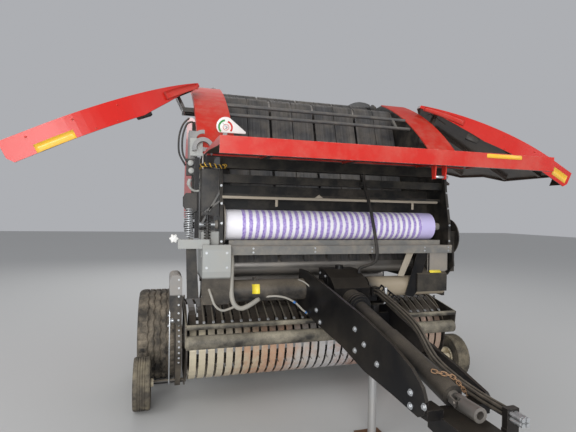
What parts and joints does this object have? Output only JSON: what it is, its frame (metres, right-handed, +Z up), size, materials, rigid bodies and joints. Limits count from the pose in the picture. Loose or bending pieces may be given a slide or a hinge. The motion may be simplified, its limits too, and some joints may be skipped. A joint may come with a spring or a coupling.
{
  "type": "round baler",
  "caption": "Trailed round baler with belt chamber, tined pickup, net wrap roll and raised gull-wing side doors.",
  "frame": {"origin": "on the ground under the middle of the machine's bounding box, with the side doors open", "axes": "+Z up, +Y towards the tailgate, -Y towards the hitch, +X to the right in a view from the front"},
  "size_m": [4.3782, 4.5996, 2.749],
  "materials": {
    "red_paint": "glossy enamel with dust",
    "black_paint": "satin black enamel with dust",
    "grey_paint": "grey primer with dust",
    "rim_paint": "cream enamel with dust",
    "guard_plastic": "black moulded guard",
    "worn_steel": "bare steel polished by crop, rusty at its edges",
    "galvanised": "zinc",
    "belt_rubber": "woven black rubber belt",
    "tyre": "dusty tyre rubber",
    "net_film": "white and violet netting wound on a roll"
  },
  "bodies": {
    "chassis": {"axle_beam": "black_paint", "tongue": "black_paint", "hitch_clevis": "black_paint", "jack_sleeve": "black_paint", "side_wall_left": "black_paint", "side_wall_right": "black_paint", "front_panel_left": "red_paint", "front_panel_right": "red_paint", "belt_guard_bars": "grey_paint", "front_crossmembers": "black_paint", "net_beam": "grey_paint", "net_end_plates": "black_paint", "left_column": "black_paint", "left_lower_housing": "grey_paint", "right_brackets": "black_paint", "drive_tube": "black_paint", "gearbox": "black_paint", "pto_guard": "guard_plastic", "pto_yoke": "worn_steel", "front_rollers": "worn_steel", "front_belts": "belt_rubber", "intake_floor": "grey_paint", "door_brackets": "black_paint", "lift_barrels": "black_paint", "bale_gauge": "grey_paint", "left_drive_chains": "worn_steel", "hose_rack": "black_paint", "hose_couplers": "galvanised", "hose_1": "belt_rubber", "hose_2": "belt_rubber", "hose_3": "belt_rubber", "hose_4": "belt_rubber", "front_conduit": "guard_plastic"},
    "wheel_left": {"rim_left": "rim_paint", "tyre_left": "tyre"},
    "wheel_right": {"rim_right": "rim_paint", "tyre_right": "tyre"},
    "pickup": {"pickup_frame": "black_paint", "stripper_bands": "worn_steel"},
    "reel": {"tine_reel": "worn_steel"},
    "windguard": {"windguard": "black_paint"},
    "gauge_wheel_left": {"gauge_rim_left": "rim_paint", "gauge_tyre_left": "tyre"},
    "gauge_wheel_right": {"gauge_rim_right": "rim_paint", "gauge_tyre_right": "tyre"},
    "rotor": {"intake_rotor": "black_paint"},
    "net_roll": {"net_roll": "net_film", "net_core": "grey_paint"},
    "net_cover": {"net_cover": "red_paint"},
    "door_left": {"door_left": "red_paint"},
    "door_right": {"door_right": "red_paint"},
    "tailgate": {"tailgate_walls": "black_paint", "tailgate_rollers": "worn_steel", "tailgate_belts": "belt_rubber", "tailgate_cover_left": "red_paint", "tailgate_cover_right": "red_paint"},
    "lift_rods": {"lift_rods": "galvanised"},
    "jack_leg": {"jack_leg": "galvanised"}
  },
  "joints": [
    {"name": "wheel_left_spin", "type": "hinge", "parent": "chassis", "child": "wheel_left", "pos_m": [-1.265, 0.77, 0.395], "axis": [1, 0, 0], "continuous": true},
    {"name": "wheel_right_spin", "type": "hinge", "parent": "chassis", "child": "wheel_right", "pos_m": [1.265, 0.77, 0.395], "axis": [1, 0, 0], "continuous": true},
    {"name": "pickup_lift", "type": "hinge", "parent": "chassis", "child": "pickup", "pos_m": [0, 0.56, 0.6], "axis": [-1, 0, 0], "range_deg": [0, 12]},
    {"name": "reel_spin", "type": "hinge", "parent": "pickup", "child": "reel", "pos_m": [0, 0.1, 0.5], "axis": [1, 0, 0], "continuous": true},
    {"name": "windguard_lift", "type": "hinge", "parent": "pickup", "child": "windguard", "pos_m": [0, 0.25, 0.8], "axis": [-1, 0, 0], "range_deg": [0, 8]},
    {"name": "gauge_left_spin", "type": "hinge", "parent": "pickup", "child": "gauge_wheel_left", "pos_m": [-1.375, 0.115, 0.195], "axis": [1, 0, 0], "continuous": true},
    {"name": "gauge_right_spin", "type": "hinge", "parent": "pickup", "child": "gauge_wheel_right", "pos_m": [1.375, 0.115, 0.195], "axis": [1, 0, 0], "continuous": true},
    {"name": "rotor_spin", "type": "hinge", "parent": "chassis", "child": "rotor", "pos_m": [0, 0.56, 0.6], "axis": [1, 0, 0], "continuous": true},
    {"name": "net_roll_spin", "type": "hinge", "parent": "chassis", "child": "net_roll", "pos_m": [0, -0.35, 1.417], "axis": [1, 0, 0], "continuous": true},
    {"name": "net_cover_close", "type": "hinge", "parent": "chassis", "child": "net_cover", "pos_m": [0, -0.45, 1.88], "axis": [1, 0, 0], "range_deg": [0, 68]},
    {"name": "door_left_close", "type": "hinge", "parent": "chassis", "child": "door_left", "pos_m": [-1.095, 0.15, 2.28], "axis": [0, -1, 0], "range_deg": [0, 63]},
    {"name": "door_right_close", "type": "hinge", "parent": "chassis", "child": "door_right", "pos_m": [1.095, 0.15, 2.28], "axis": [0, 1, 0], "range_deg": [0, 63]},
    {"name": "tailgate_open", "type": "hinge", "parent": "chassis", "child": "tailgate", "pos_m": [0, 0.65, 2.5576], "axis": [1, 0, 0], "range_deg": [0, 55]},
    {"name": "lift_rod_slide", "type": "slide", "parent": "chassis", "child": "lift_rods", "axis": [0, 0.2149, 0.9766], "range_m": [0, 0.43]},
    {"name": "jack_slide", "type": "slide", "parent": "chassis", "child": "jack_leg", "axis": [0, 0, 1], "range_m": [0, 0.32]}
  ],
  "couplings": [
    {"joint": "lift_rod_slide", "follows": "tailgate_open", "m_per_rad": 0.44}
  ]
}
